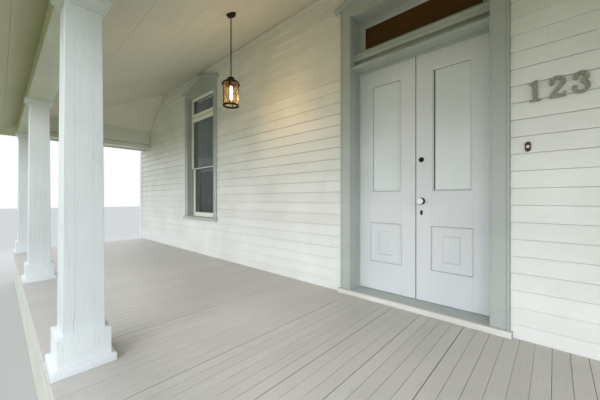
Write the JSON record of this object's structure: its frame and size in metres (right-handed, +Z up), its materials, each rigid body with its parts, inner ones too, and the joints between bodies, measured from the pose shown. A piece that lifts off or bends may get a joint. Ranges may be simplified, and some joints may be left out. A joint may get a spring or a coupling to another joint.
{
  "type": "front porch",
  "caption": "Covered front porch with tapered box columns and hipped ends on a clapboard house wall, with a double entrance door that opens inwards, tall windows and hanging lanterns.",
  "frame": {"origin": "on the ground under the foundation, in the plane of the house wall's outer face, in the middle of the doorway", "axes": "+X to the right along the wall as seen from the street, +Y into the house, +Z up"},
  "size_m": [12.9386, 2.737, 3.9904],
  "materials": {
    "brick": "rough",
    "framing_timber": "sawn",
    "white_paint": "painted, satin",
    "floor_paint": "painted, satin",
    "ceiling_paint": "painted, satin",
    "shingle": "granular",
    "sheathing": "sawn",
    "siding_paint": "painted, satin",
    "trim_paint": "painted, satin",
    "sill_paint": "painted, satin",
    "brown_pane": "gloss",
    "door_paint": "painted, satin",
    "privacy_glass": "gloss",
    "hinge_steel": "aged",
    "porcelain": "glazed",
    "black_iron": "satin",
    "sash_paint": "painted, satin",
    "window_glass": "gloss",
    "sheer_cloth": "matte",
    "rod_steel": "satin",
    "bronze": "satin",
    "amber_glass": "seeded",
    "bulb_glass": "gloss",
    "aged_zinc": "aged",
    "brown_plastic": "satin"
  },
  "bodies": {
    "porch": {"foundation_wall": "brick", "deck_piers": "brick", "deck_girders": "framing_timber", "deck_joists": "framing_timber", "rim_boards": "white_paint", "skirt_boards": "white_paint", "porch_floor": "floor_paint", "column_bases": "white_paint", "column_shafts": "white_paint", "column_caps": "white_paint", "beams": "white_paint", "beam_underside": "white_paint", "ceiling": "ceiling_paint", "roof_front": "framing_timber", "roof_ends": "framing_timber", "roof_shingles": "shingle", "eave_fascia": "white_paint", "wall_left": "sheathing", "wall_right": "sheathing", "wall_over_door": "sheathing", "siding": "siding_paint", "corner_boards": "white_paint", "door_frame": "trim_paint", "door_sill": "sill_paint", "door_casing": "trim_paint", "transom_sash": "trim_paint", "transom_pane": "brown_pane", "frame_hinges": "hinge_steel", "window_frames": "trim_paint", "window_casings": "trim_paint", "window_sashes": "sash_paint", "window_glass": "window_glass", "curtains": "sheer_cloth", "curtain_rods": "rod_steel", "lantern_stems": "bronze", "lantern_frames": "bronze", "lantern_glass": "amber_glass", "lantern_bulbs": "bulb_glass", "house_numbers": "aged_zinc", "doorbell": "brown_plastic"},
    "door_left": {"door_left": "door_paint", "door_left_glass": "privacy_glass", "door_left_hinges": "hinge_steel"},
    "door_right": {"door_right": "door_paint", "door_right_glass": "privacy_glass", "door_right_hinges": "hinge_steel", "door_knobs": "porcelain", "door_locks": "black_iron"}
  },
  "joints": [
    {"name": "left_leaf_swing", "type": "hinge", "parent": "porch", "child": "door_left", "pos_m": [-0.5625, 0.198, 0.6], "axis": [0, 0, 1], "range_deg": [0, 100]},
    {"name": "right_leaf_swing", "type": "hinge", "parent": "porch", "child": "door_right", "pos_m": [0.5625, 0.198, 0.6], "axis": [0, 0, -1], "range_deg": [0, 100]}
  ]
}
